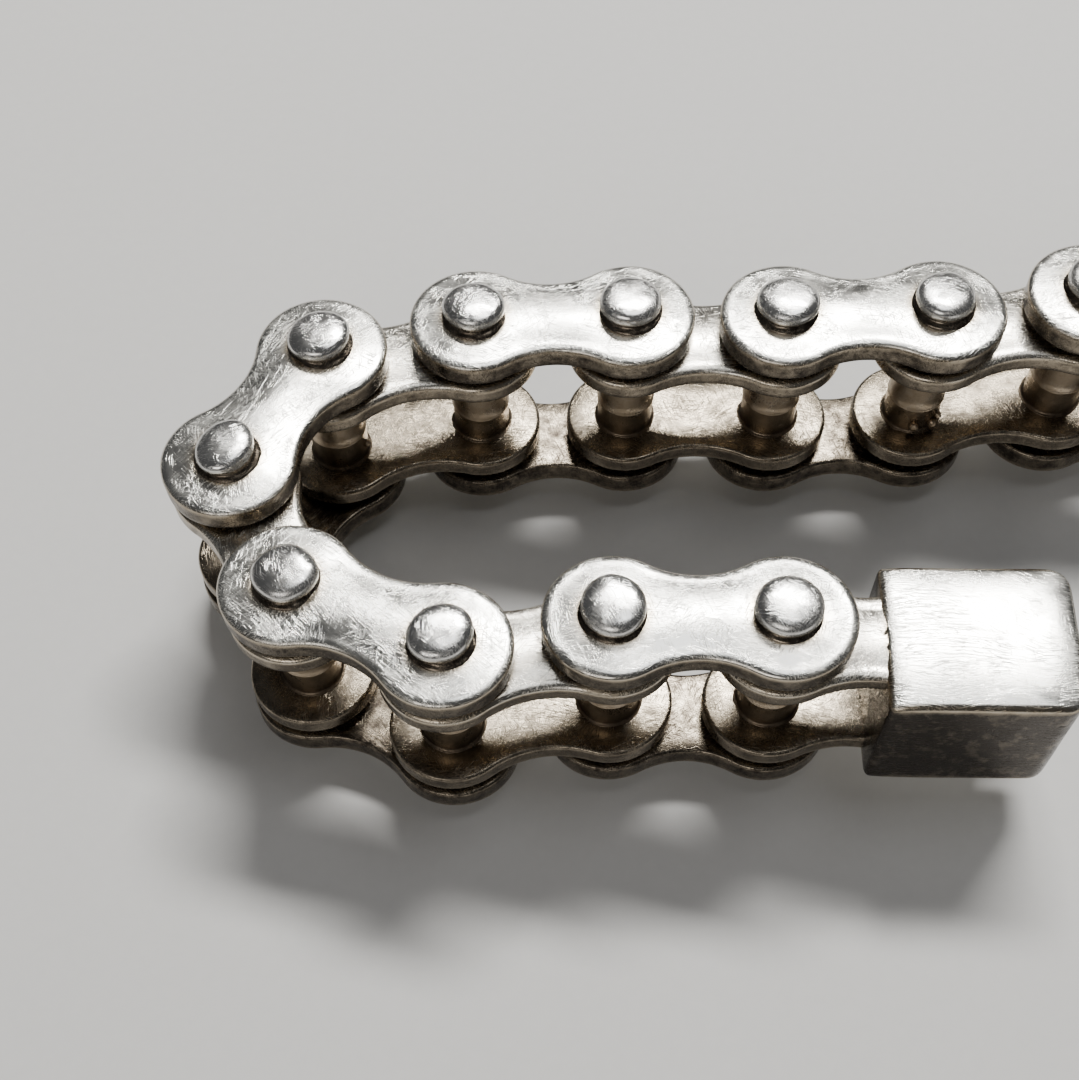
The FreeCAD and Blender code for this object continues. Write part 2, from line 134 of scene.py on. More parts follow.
# ------------------------------------------------------- softness of the casting
OUTLINE_STEP = 0.3
EDGE_INSET = 0.8
EDGE_DROP = 0.8
INSIDE_BREAK = 0.3
FACE_CROWN = 0.36
FACE_STEPS = 9
PINS_ROUND = 56
BLOCK_EDGE = 0.42
BLOCK_CORNER = BLOCK_EDGE + 0.1
BLOCK_PILLOW = 0.34
SHEET_EDGE = 0.22
SHARP_ANGLE = 38

# What a file leaves behind. Each wave has its height, its length and what it
# adds to the seed.
EDGE_WAVES = [(0.035, 4.5, 0), (0.012, 1.3, 7)]
FACE_WAVES = [(0.05, 3.6, 3), (0.014, 1.1, 5)]
BLOCK_WAVES = [(0.045, 5.0, 0), (0.012, 1.4, 3)]

# A half link's face sinks by this much towards its block, over this span.
HALF_LINK_SINK = 0.28
SINK_START = 3.5
SINK_SPAN = 3.5

# How dark the walls are painted, from 0 for bright to 1: a painted dark reflection, with some
# tarnish.
OUTER_WALL_STAIN_AND_SHADE = 0.78
INNER_WALL_STAIN_AND_SHADE = 0.68
BLOCK_WALL_STAIN_AND_SHADE = 0.92

# Heads that were filed out of round, by link and end: how far each is drawn
# out, in which direction (degrees), how square it is, how it leans along X and
# Y, and how tall its neck is.
HEAD_SHAPES = {
    ("outer_1", 0): (0.02, 20, 0.02, (0.02, -0.03), 0.30),
    ("outer_1", 1): (0.03, 110, 0.03, (-0.03, -0.05), 0.38),
    ("outer_2", 0): (0.06, 60, 0.05, (0.04, -0.04), 0.42),
    ("outer_2", 1): (0.03, 20, 0.09, (-0.03, -0.05), 0.36),
    ("outer_3", 0): (0.08, 5, 0.02, (0.02, -0.06), 0.52),
    ("outer_3", 1): (0.04, 150, 0.02, (0.03, -0.04), 0.50),
    ("outer_4", 0): (0.04, 175, 0.02, (0.00, -0.02), 0.44),
    ("outer_4", 1): (0.02, 30, 0.04, (-0.04, -0.03), 0.36),
    ("outer_5", 0): (0.03, 160, 0.03, (0.03, -0.02), 0.34),
    ("outer_5", 1): (0.03, 60, 0.05, (-0.03, -0.04), 0.40),
}

# Beads of solder at the feet of three bushes: which bush of the link, direction
# in degrees in the link's frame, height and radius.
BEADS = {
    "inner_3": [(0, -30, -2.6, 0.34)],
    "inner_5": [(0, -100, -3.1, 0.42), (0, -62, -3.15, 0.46), (0, -48, -2.7, 0.34)],
    "inner_1": [(1, -75, -3.2, 0.3)],
}


# ------------------------------------------------------------------- placement
def hinge_places():
    """First and second hinge of each body, in millimetres."""
    first = {}
    second = {}
    for joint in frame["joints"]:
        place = Vector(joint["pos_m"]) / MM
        if joint["name"] != "spring_leaf_squeeze":
            first[joint["child"]] = place
            second[joint["parent"]] = place
    return first, second


FIRST_HINGE, SECOND_HINGE = hinge_places()


def link_matrix(body):
    """From a link's own frame in millimetres to the row frame in millimetres."""
    if body == "clasp_box_link":
        return Matrix.Translation(SECOND_HINGE[body]) @ Matrix.Rotation(BOX_HEADING, 4, "Z")
    if body in ("tongue_link", "spring_leaf"):
        origin = FIRST_HINGE["tongue_link"]
        return Matrix.Translation(origin) @ Matrix.Rotation(TONGUE_HEADING, 4, "Z")
    along = SECOND_HINGE[body] - FIRST_HINGE[body]
    turn = Matrix.Rotation(math.atan2(along.y, along.x), 4, "Z")
    return Matrix.Translation(FIRST_HINGE[body]) @ turn


# --------------------------------------------------------------- mesh building
def clamp(value):
    """The value, kept between 0 and 1."""
    return min(max(value, 0.0), 1.0)


def quarter(step, steps):
    """Angle at a step through a quarter turn."""
    return math.radians(90 * step / steps)


def name_seed(name, scale):
    """A seed for noise that follows from a name."""
    return scale * sum(ord(letter) for letter in name)


class Shell:
    """Points and faces of one piece in its link's frame, in millimetres."""

    def __init__(self):
        self.points = []
        self.faces = []

    def ring(self, points):
        """Add points and return their numbers."""
        start = len(self.points)
        self.points.extend(Vector(point) for point in points)
        return list(range(start, len(self.points)))

    def join(self, lower, upper):
        """Join two closed rings. Numbers that fall together make triangles."""
        count = len(lower)
        for i in range(count):
            j = (i + 1) % count
            corners = []
            for corner in (lower[i], lower[j], upper[j], upper[i]):
                if corner not in corners:
                    corners.append(corner)
            if len(corners) > 2:
                self.faces.append(corners)

    def skin(self, rings, flip=False):
        """Join each ring to the next one."""
        for one, two in zip(rings, rings[1:]):
            if flip:
                self.join(two, one)
            else:
                self.join(one, two)

    def close(self, ring, centre, flip=False):
        """Close a ring with triangles to a point."""
        middle = self.ring([centre])[0]
        for i, start in enumerate(ring):
            end = ring[(i + 1) % len(ring)]
            self.faces.append([end, start, middle] if flip else [start, end, middle])

    def turn_over(self):
        """Bring the piece from above the middle of the chain to below it."""
        for point in self.points:
            point.z = -point.z
        self.faces = [face[::-1] for face in self.faces]


def cut_away(shell, low, high):
    """The shell with a box cut out of it, for a notch."""
    mesh = bpy.data.meshes.new("uncut")
    mesh.from_pydata(shell.points, [], shell.faces)
    piece = bpy.data.objects.new("uncut", mesh)
    corners = [(x, y, z) for x in (low[0], high[0]) for y in (low[1], high[1])
               for z in (low[2], high[2])]
    sides = [(0, 1, 3, 2), (4, 6, 7, 5), (0, 4, 5, 1), (2, 3, 7, 6), (0, 2, 6, 4), (1, 5, 7, 3)]
    knife_mesh = bpy.data.meshes.new("knife")
    knife_mesh.from_pydata(corners, [], sides)
    knife = bpy.data.objects.new("knife", knife_mesh)
    for thing in (piece, knife):
        bpy.context.scene.collection.objects.link(thing)
    cut = piece.modifiers.new("notch", "BOOLEAN")
    cut.operation = "DIFFERENCE"
    cut.solver = "EXACT"
    cut.object = knife
    bpy.context.view_layer.update()
    result = piece.evaluated_get(bpy.context.evaluated_depsgraph_get()).to_mesh()
    notched = Shell()
    notched.points = [vertex.co.copy() for vertex in result.vertices]
    notched.faces = [list(polygon.vertices) for polygon in result.polygons]
    for thing in (piece, knife):
        bpy.data.objects.remove(thing)
    return notched


def add_piece(shell, body, node, slot, tarnish_and_shade, sharp=None):
    """Make the object for a shell, let it ride on its body and replace its node."""
    name = node + "_worn"
    chance = random.Random(name)
    shift = Vector([chance.uniform(-40, 40) for _ in range(3)])
    matrix = link_matrix(body)
    mesh = bpy.data.meshes.new(name)
    mesh.from_pydata([(matrix @ point) * MM for point in shell.points], [], shell.faces)
    mesh.shade_smooth()
    if sharp is not None:
        mesh.set_sharp_from_angle(angle=math.radians(sharp))
    grain = mesh.attributes.new("grain", "FLOAT_VECTOR", "POINT")
    for i, point in enumerate(shell.points):
        grain.data[i].vector = point + shift
    # Per point darkening for the colour: tarnish together with painted shade and painted dark
    # reflection.
    stain_and_shade = mesh.attributes.new("tarnish_and_shade", "FLOAT", "POINT")
    for i, point in enumerate(shell.points):
        stain_and_shade.data[i].value = tarnish_and_shade(point)
    mesh.materials.append(MATERIALS[slot])
    piece = bpy.data.objects.new(name, mesh)
    bpy.context.scene.collection.objects.link(piece)
    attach(piece, body)
    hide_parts(node)


def ripple(point, size, seed):
    """Smooth noise between -1 and 1 whose waves are about size long."""
    return noise.noise(Vector((point[0] / size + seed, point[1] / size, point[2] / size)))


def filed_off(point, waves, seed, sign):
    """Depth that the waves take off at a point. With sign -1 hills and hollows change places."""
    depth = 0.0
    for height, length, seed_step in waves:
        depth += height * (1 + sign * ripple(point, length, seed + seed_step))
    return depth


# ---------------------------------------------------------------------- plates
def arc_points(centre, radius, start, end, outward):
    """Points along an arc with the normals that point out of the plate."""
    count = max(3, round(abs(end - start) * radius / OUTLINE_STEP))
    found = []
    for i in range(count):
        angle = start + (end - start) * i / count
        ray = Vector((math.cos(angle), math.sin(angle)))
        found.append((Vector(centre) + ray * radius, ray * outward))
    return found


def plate_outline(lobe, half_link):
    """Outline of a plate: each point, its outward normal and its centre line point."""
    bow = ((PITCH / 2) ** 2 + WAIST_HALF ** 2 - lobe ** 2) / (2 * (lobe - WAIST_HALF))
    away = WAIST_HALF + bow
    touch = math.atan2(away, PITCH / 2)
    outline = []
    for point, normal in arc_points((0, 0), lobe, touch, 2 * math.pi - touch, 1):
        outline.append((point, normal, Vector((0, 0))))
    if half_link:
        last = BLOCK_START + HALF_SPINE_IN_BLOCK
        reach = BLOCK_START + HALF_PLATE_IN_BLOCK
        stop = math.acos((reach - PITCH / 2) / bow)
    else:
        last = PITCH
        stop = touch
    lower = arc_points((PITCH / 2, -away), bow, math.pi - touch, stop, -1)
    upper = arc_points((PITCH / 2, away), bow, -stop, touch - math.pi, -1)
    for i, (point, normal) in enumerate(lower):
        outline.append((point, normal, Vector((last * i / len(lower), 0))))
    if half_link:
        corner = bow * math.sin(stop) - away
        steps = 24
        for i in range(steps):
            across = corner * (1 - 2 * i / steps)
            outline.append((Vector((reach, across)), Vector((1, 0)), Vector((last, 0))))
    else:
        for point, normal in arc_points((PITCH, 0), lobe, touch - math.pi, math.pi - touch, 1):
            outline.append((point, normal, Vector((PITCH, 0))))
    for i, (point, normal) in enumerate(upper):
        outline.append((point, normal, Vector((last * (1 - i / len(upper)), 0))))
    return outline


def edge_profile(thickness):
    """Pairs of inset and height up a plate's edge, from its inside to its outside face."""
    profile = []
    for step in range(4):
        angle = quarter(step, 3)
        profile.append((INSIDE_BREAK * (1 - math.sin(angle)), INSIDE_BREAK * (1 - math.cos(angle))))
    wall = thickness - EDGE_DROP
    for step in range(1, 4):
        profile.append((0.0, INSIDE_BREAK + (wall - INSIDE_BREAK) * step / 4))
    for step in range(9):
        angle = quarter(step, 8)
        height = wall + (EDGE_DROP - FACE_CROWN) * math.sin(angle)
        profile.append((EDGE_INSET * (1 - math.cos(angle)), height))
    return profile


def plate_shell(lobe, inside, outside, seed, half_link=False):
    """A plate with a pillowed outside face, rounded edges and a hand-filed waviness."""
    outline = plate_outline(lobe, half_link)
    thickness = outside - inside
    shell = Shell()

    def filed(point, normal, inset, height, facing):
        """One point of the plate, pushed about as a file leaves it."""
        spot = point - normal * inset
        at = (spot.x, spot.y, 0)
        spot = spot - normal * filed_off(at, EDGE_WAVES, seed, 1) * (1 - facing)
        lift = -filed_off(at, FACE_WAVES, seed, -1)
        if half_link:
            sunk = clamp((spot.x - SINK_START) / SINK_SPAN)
            lift -= HALF_LINK_SINK * sunk * sunk * (3 - 2 * sunk)
        return (spot.x, spot.y, inside + height + lift * facing)

    def spine(height, facing):
        """The ring along the centre line, where points that coincide are one."""
        numbers = {}
        ring = []
        for _point, _normal, middle in outline:
            key = round(middle.x, 3)
            if key not in numbers:
                spot = filed(middle, Vector((0, 0)), 0.0, height, facing)
                numbers[key] = shell.ring([spot])[0]
            ring.append(numbers[key])
        return ring

    rings = [spine(0.0, 0.0)]
    for share in (0.66, 0.33):
        flat = []
        for point, normal, middle in outline:
            start = point - normal * INSIDE_BREAK
            spot = start.lerp(middle, share)
            flat.append((spot.x, spot.y, inside))
        rings.append(shell.ring(flat))
    for inset, height in edge_profile(thickness):
        facing = clamp((height - INSIDE_BREAK) / (thickness - INSIDE_BREAK)) ** 2
        rings.append(shell.ring(
            [filed(point, normal, inset, height, facing) for point, normal, _middle in outline]))
    for step in range(1, FACE_STEPS):
        share = step / FACE_STEPS
        height = thickness - FACE_CROWN * (1 - share) ** 2
        crowned = []
        for point, normal, middle in outline:
            spot = (point - normal * EDGE_INSET).lerp(middle, share)
            crowned.append(filed(spot, normal, 0.0, height, 1.0))
        rings.append(shell.ring(crowned))
    rings.append(spine(thickness, 1.0))
    shell.skin(rings)
    return shell


def near_pins(point):
    """Distance in plan from the nearer pin of a whole link."""
    return min(math.hypot(point.x, point.y), math.hypot(point.x - PITCH, point.y))


def outer_plate_tarnish(point):
    """Dark round the heads and down the walls, and all over the inside face. Round the heads and on
    the inside face this is tarnish with painted shade; down the walls it is a painted dark
    reflection with some tarnish.
    """
    level = abs(point.z)
    around = math.exp(-((near_pins(point) - 2.3) / 0.55) ** 2)
    wall = clamp((OUTER_FACE - 0.5 - level) / 0.45)
    inner_side = 0.42 if level < OUTER_INSIDE + 0.06 else 0.0
    return max(0.45 * around, OUTER_WALL_STAIN_AND_SHADE * wall, inner_side)


def inner_plate_tarnish(point):
    """Dull under the outer plates and towards the inside, and a little all over. Under the outer
    plates and on the inside face this is tarnish with painted shade; down the walls it is a painted
    dark reflection with some tarnish.
    """
    level = abs(point.z)
    lap = math.exp(-((near_pins(point) - 4.3) / 0.9) ** 2)
    wall = clamp((INNER_FACE - 0.5 - level) / 0.45)
    inner_side = 0.3 if level < INNER_INSIDE + 0.06 else 0.0
    return max(0.5 * lap, INNER_WALL_STAIN_AND_SHADE * wall, inner_side, 0.16)


# -------------------------------------------------------------- pins and bushes
# The first rings of a head's profile, which lie against the plate.
FLANGE_RINGS = 4


def head_profile(neck_height):
    """Pairs of radius and height of a riveted head, from the plate up to the crown."""
    seat = OUTER_FACE
    lip = seat + neck_height
    rise = CROWN - lip
    return [
        (2.6, seat - 0.3), (2.5, seat - 0.12), (2.38, seat - 0.02), (2.22, seat + 0.03),
        (2.1, seat + 0.08), (2.03, seat + 0.14), (2.0, lip - 0.08), (2.03, lip - 0.03),
        (2.14, lip), (2.28, lip + 0.03), (2.36, lip + 0.1), (2.4, lip + 0.2),
        (2.42, lip + 0.28 * rise), (2.41, lip + 0.4 * rise), (2.36, lip + 0.52 * rise),
        (2.26, lip + 0.64 * rise), (2.1, lip + 0.75 * rise), (1.86, lip + 0.84 * rise),
        (1.55, lip + 0.905 * rise), (1.2, lip + 0.95 * rise), (0.8, lip + 0.98 * rise),
        (0.4, lip + 0.995 * rise),
    ]


def add_head(shell, centre, side, shape, seed):
    """Rings of one head from the plate up. side is 1 above and -1 below."""
    drawn, direction, square, lean, neck = shape
    direction = math.radians(direction)
    base = OUTER_FACE + neck
    rings = []
    for number, (radius, level) in enumerate(head_profile(neck)):
        head = clamp((level - base + 0.1) / 0.25)
        ring = []
        for i in range(PINS_ROUND):
            angle = 2 * math.pi * i / PINS_ROUND
            at = (math.cos(angle), math.sin(angle), 0)
            out = drawn * math.cos(2 * (angle - direction)) - drawn
            out += square * (0.25 * math.cos(4 * (angle - direction)) - 0.25)
            out += 0.012 * ripple(at, 0.55, seed)
            reach = radius * (1 + out * head)
            height = level + head * (lean[0] * reach * at[0] + lean[1] * reach * at[1])
            if number < FLANGE_RINGS:
                worn = 0.5 + 0.5 * ripple(at, 0.5, seed + 2)
                reach += 0.12 * (worn - 0.8)
                height -= 0.05 * (1 - worn)
            hammer = 0.03 * head * ripple((reach * at[0], reach * at[1], 0), 0.9, seed + 4)
            height = min(height + hammer, CROWN)
            ring.append((centre + reach * at[0], reach * at[1], side * height))
        rings.append(shell.ring(ring))
    return rings


def pins_shell(name):
    """Both pins of an outer link, each one closed form from crown to crown."""
    shell = Shell()
    for end in (0, 1):
        seed = 11.0 * end + name_seed(name, 0.37)
        chance = random.Random(name + str(end))
        usual = (chance.uniform(0.01, 0.05), chance.uniform(0, 180), chance.uniform(0.01, 0.06),
                 (chance.uniform(-0.03, 0.03), chance.uniform(-0.03, 0.03)),
                 chance.uniform(0.3, 0.45))
        below = (usual[0], chance.uniform(0, 180), usual[2], (0.0, 0.0), 0.34)
        upper = add_head(shell, PITCH * end, 1, HEAD_SHAPES.get((name, end), usual), seed)
        lower = add_head(shell, PITCH * end, -1, below, seed + 5)
        shafts = []
        for level in (-OUTER_FACE + 0.4, OUTER_FACE - 0.4):
            shafts.append(shell.ring([
                (PITCH * end + PIN_RADIUS * math.cos(2 * math.pi * i / PINS_ROUND),
                 PIN_RADIUS * math.sin(2 * math.pi * i / PINS_ROUND), level)
                for i in range(PINS_ROUND)]))
        order = lower[::-1] + shafts + upper
        shell.skin(order)
        shell.close(order[0], Vector((PITCH * end, 0, -CROWN)), flip=True)
        shell.close(order[-1], Vector((PITCH * end, 0, CROWN - 0.003)))
    return shell


def pin_tarnish(point):
    """Dark in the undercut below a head and down the shaft: painted shade, with some tarnish."""
    level = abs(point.z)
    if level < OUTER_FACE - 0.5:
        return 0.7
    return 0.8 * clamp((OUTER_FACE + 0.62 - level) / 0.35)


def bush_profile(seed):
    """Pairs of radius and height round the section of a bush, up its outside first."""
    foot = 0.26
    profile = [(BUSH_BORE, -INNER_FACE + 0.08), (BUSH_RADIUS - 0.1, -INNER_FACE + 0.08),
               (BUSH_RADIUS, -INNER_FACE + 0.2), (BUSH_RADIUS + foot, -INNER_INSIDE - 0.1)]
    for step in range(6):
        angle = quarter(step, 5)
        profile.append((BUSH_RADIUS + foot * (1 - math.sin(angle)),
                        -INNER_INSIDE + foot * (1 - math.cos(angle))))
    seam = -1.25 + 0.2 * noise.noise(Vector((seed, 0, 0)))
    for away, swell in ((-0.22, 0.0), (-0.1, 0.05), (0.0, 0.075), (0.08, 0.03), (0.16, -0.03)):
        profile.append((BUSH_RADIUS + swell, seam + away))
    for level in (-0.4, 0.6, 1.6, 2.6):
        profile.append((BUSH_RADIUS - 0.03, level))
    for step in range(6):
        angle = quarter(step, 5)
        profile.append((BUSH_RADIUS + foot * (1 - math.cos(angle)),
                        INNER_INSIDE - foot * (1 - math.sin(angle))))
    profile += [(BUSH_RADIUS + foot, INNER_INSIDE + 0.1), (BUSH_RADIUS, INNER_FACE - 0.2),
                (BUSH_RADIUS - 0.1, INNER_FACE - 0.08), (BUSH_BORE, INNER_FACE - 0.08)]
    return profile


def add_bush(shell, centre, seed):
    """One bush with fillets of solder at both plates and a faint seam."""
    rings = []
    for radius, level in bush_profile(seed):
        ring = []
        for i in range(PINS_ROUND):
            angle = 2 * math.pi * i / PINS_ROUND
            at = (math.cos(angle), math.sin(angle), level * 0.3)
            reach = radius
            if radius > BUSH_BORE + 0.1:
                reach += 0.035 * ripple(at, 0.6, seed) - 0.02
                reach += 0.3 * max(radius - BUSH_RADIUS, 0) * ripple(at, 0.35, seed + 9)
            ring.append((centre + reach * at[0], reach * at[1], level))
        rings.append(shell.ring(ring))
    shell.skin(rings + rings[:1])


def add_bead(shell, centre, angle, level, radius, seed):
    """A drop of solder that has run against a bush."""
    angle = math.radians(angle)
    away = BUSH_RADIUS + radius * 0.35
    middle = Vector((centre + away * math.cos(angle), away * math.sin(angle), level))
    rows, around = 10, 18
    rings = []
    for row in range(1, rows):
        tilt = math.pi * row / rows
        ring = []
        for i in range(around):
            turn = 2 * math.pi * i / around
            ray = Vector((math.sin(tilt) * math.cos(turn), math.sin(tilt) * math.sin(turn),
                          -math.cos(tilt)))
            ring.append(middle + ray * radius * (1 + 0.16 * ripple(ray, 0.8, seed)))
        rings.append(shell.ring(ring))
    shell.skin(rings)
    shell.close(rings[0], middle - Vector((0, 0, radius)), flip=True)
    shell.close(rings[-1], middle + Vector((0, 0, radius)))


def bushes_shell(name, ends):
    """The bushes of an inner link or a half link."""
    shell = Shell()
    seed = name_seed(name, 0.53)
    for end in ends:
        add_bush(shell, PITCH * end, seed + 4 * end)
    for number, (end, angle, level, radius) in enumerate(BEADS.get(name, [])):
        add_bead(shell, PITCH * end, angle, level, radius, seed + number)
    return shell


def bush_tarnish(point):
    """Dull all over and brownest at the two plates: tarnish, with painted shade where the bush meets
    the plates.
    """
    return 0.42 + 0.4 * clamp((abs(point.z) - 2.4) / 1.4)


# ----------------------------------------------------------------------- clasp
def rounded_section(half_width, low, high, radius, per_side=22, per_corner=6):
    """Points round a rounded rectangle in Y and Z, from the right side upwards."""
    corners = [(half_width - radius, low + radius, -90), (half_width - radius, high - radius, 0),
               (radius - half_width, high - radius, 90), (radius - half_width, low + radius, 180)]
    points = []
    for number, (across, level, start) in enumerate(corners):
        corner = []
        for step in range(per_corner + 1):
            angle = math.radians(start) + quarter(step, per_corner)
            corner.append((across + radius * math.cos(angle), level + radius * math.sin(angle)))
        points += corner
        following = corners[(number + 1) % 4]
        angle = math.radians(following[2])
        end = (following[0] + radius * math.cos(angle), following[1] + radius * math.sin(angle))
        for step in range(1, per_side):
            share = step / per_side
            points.append((corner[-1][0] * (1 - share) + end[0] * share,
                           corner[-1][1] * (1 - share) + end[1] * share))
    return points


def block_ring(shell, at_x, half_width, low, high, radius, seed=None, end=1.0):
    """One section of a block. With a seed its faces are pillowed and slightly uneven."""
    ring = []
    for across, level in rounded_section(half_width, low, high, radius):
        push = 0.0
        if seed is not None:
            spot = (at_x, across, level)
            along = 2 * (at_x - BLOCK_START) / (end - BLOCK_START) - 1
            push = -filed_off(spot, BLOCK_WAVES, seed, -1)
            fall = BLOCK_PILLOW * (abs(across / BLOCK_HALF_WIDTH) ** 3.5 + abs(along) ** 7)
            level -= math.copysign(fall * abs(level / INNER_FACE) ** 4, level)
        length = max(math.hypot(across, level), 0.1)
        ring.append((at_x, across * (1 + push / length), level * (1 + push / length)))
    return shell.ring(ring)


def block_shell(end, corner, seed, hollow):
    """A block from its flat end to its far end, with all its outer edges softened."""
    shell = Shell()
    half, top = BLOCK_HALF_WIDTH, INNER_FACE
    rings = []
    for step in range(6):
        angle = quarter(step, 5)
        inset = BLOCK_EDGE * (1 - math.sin(angle))
        at_x = BLOCK_START + BLOCK_EDGE * (1 - math.cos(angle))
        rings.append(block_ring(shell, at_x, half - inset, inset - top, top - inset,
                                BLOCK_CORNER, seed, end))
    straight = end - max(corner, BLOCK_EDGE)
    span = straight - BLOCK_START - BLOCK_EDGE
    steps = max(4, round(span / 0.6))
    for step in range(1, steps + 1):
        at_x = BLOCK_START + BLOCK_EDGE + span * step / steps
        rings.append(block_ring(shell, at_x, half, -top, top, BLOCK_CORNER, seed, end))
    for step in range(1, 11):
        angle = quarter(step, 10)
        at_x = straight + (end - straight) * math.sin(angle)
        side = corner * (1 - math.cos(angle))
        near_end = max(0.0, at_x - (end - BLOCK_EDGE)) / BLOCK_EDGE
        inset = BLOCK_EDGE * (1 - math.sqrt(max(0.0, 1 - near_end ** 2)))
        rings.append(block_ring(shell, at_x, half - side, inset - top, top - inset,
                                BLOCK_CORNER, seed, end))
    last = Vector((end, 0, 0))
    if hollow:
        mouth = [(end, LIP_TOP, 0.0), (end - 0.12, LIP_TOP, 0.0),
                 (end - LIP_THICKNESS, LIP_TOP, 0.0),
                 (end - LIP_THICKNESS - 0.02, CAVITY_FLOOR, 0.0),
                 (end - CAVITY_DEPTH + 0.2, CAVITY_FLOOR, 0.0),
                 (end - CAVITY_DEPTH, CAVITY_FLOOR + 0.2, 0.2)]
        for at_x, floor, inset in mouth:
            rings.append(block_ring(shell, at_x, CAVITY_HALF_WIDTH - CAVITY_LINING - inset, floor,
                                    CAVITY_TOP - inset, MOUTH_CORNER))
        last = Vector((end - CAVITY_DEPTH, 0, CAVITY_TOP / 2 + CAVITY_FLOOR / 2))
    shell.skin(rings, flip=True)
    shell.close(rings[0], Vector((BLOCK_START, 0, 0)))
    shell.close(rings[-1], last, flip=True)
    return shell


def block_tarnish(point):
    """Warm along the top's long edges; dark at the flat end, down the walls and in the hollow. The
    flat end and the hollow carry painted shade, the walls a painted dark reflection, each with some
    tarnish.
    """
    inside = point.x > BOX_END - CAVITY_DEPTH - 0.1 and abs(point.y) < CAVITY_HALF_WIDTH + 0.05
    if inside and CAVITY_FLOOR - 0.1 < point.z < CAVITY_TOP + 0.1:
        return 0.85
    rim = math.exp(-((abs(point.y) - 5.75) / 0.25) ** 2 - ((point.z - 5.65) / 0.4) ** 2)
    start = math.exp(-((point.x - BLOCK_START) / 0.25) ** 2)
    wall = clamp((INNER_FACE - 0.5 - abs(point.z)) / 0.4)
    return max(0.55 * rim, 0.5 * start, BLOCK_WALL_STAIN_AND_SHADE * wall)


# ---------------------------------------------------------------------- tongue
def strip_shell(path, width, grooved=False):
    """A bent strip of sheet along a path in X and Z, with rounded edges."""
    half = LEAF_THICKNESS / 2
    shell = Shell()
    rings = []
    count = len(path)
    for number, (at_x, level) in enumerate(path):
        before = path[max(number - 1, 0)]
        after = path[min(number + 1, count - 1)]
        run = Vector((after[0] - before[0], 0, after[1] - before[1])).normalized()
        up = Vector((-run.z, 0, run.x))
        tip = min(number, count - 1 - number)
        shrink = (0.14, 0.04)[tip] if tip < 2 else 0.0
        ring = []
        groove = grooved and number > GROOVES_FROM and number % 4 < 2
        for across, rise in rounded_section(width / 2 - shrink, shrink - half, half - shrink,
                                            SHEET_EDGE, 12, 4):
            if groove and rise > 0:
                rise -= GROOVE_DEPTH
            ring.append(Vector((at_x, across, level)) + up * rise)
        rings.append(shell.ring(ring))
    shell.skin(rings, flip=True)
    shell.close(rings[0], Vector((path[0][0], 0, path[0][1])))
    shell.close(rings[-1], Vector((path[-1][0], 0, path[-1][1])), flip=True)
    return shell


def straight_run(start, end, step=0.35):
    """Points from one place to another, both included."""
    count = max(2, round(math.dist(start, end) / step))
    return [(start[0] + (end[0] - start[0]) * i / count, start[1] + (end[1] - start[1]) * i / count)
            for i in range(count + 1)]


def fold_point(angle):
    """Middle of the sheet on the fold, at an angle below +X."""
    return FOLD_X + FOLD_MIDDLE * math.cos(angle), FOLD_Z - FOLD_MIDDLE * math.sin(angle)


def base_leaf_path():
    """Out of the block and round the fold."""
    path = straight_run((TONGUE_END - LEAF_IN_BLOCK, LEAF_LEVEL), (FOLD_X, LEAF_LEVEL))
    start, end = -math.pi / 2, SPRING_ANGLE - FOLD_GAP
    for step in range(1, 15):
        path.append(fold_point(start + (end - start) * step / 14))
    return path


def spring_leaf_path():
    """From the fold back and down to the free end."""
    root = fold_point(SPRING_ANGLE)
    fall = (root[0] - SPRING_END) * math.tan(SPRING_SLOPE)
    return straight_run(root, (SPRING_END, root[1] - fall))


def thumb_tab_path():
    """Off the free end of the spring leaf and straight down."""
    level = spring_leaf_path()[-1][1] - 0.15 * LEAF_THICKNESS
    path = [(SPRING_END + 0.1, level), (SPRING_END - 0.25, level - 0.02)]
    for step in range(1, 7):
        angle = quarter(step, 6)
        path.append((TAB_MIDDLE + TAB_BEND * (1 - math.sin(angle)),
                     level - 0.05 - TAB_BEND * (1 - math.cos(angle))))
    start = (TAB_MIDDLE, path[-1][1] - TAB_STEP)
    return path + straight_run(start, (TAB_MIDDLE, TAB_FOOT + 0.05), TAB_STEP)


def leaf_tarnish(point):
    """Dull near the tongue block: tarnish, and painted shade where the leaf goes into it."""
    return 0.2 + 0.45 * clamp((TONGUE_END + 1.0 - point.x) / 1.5)


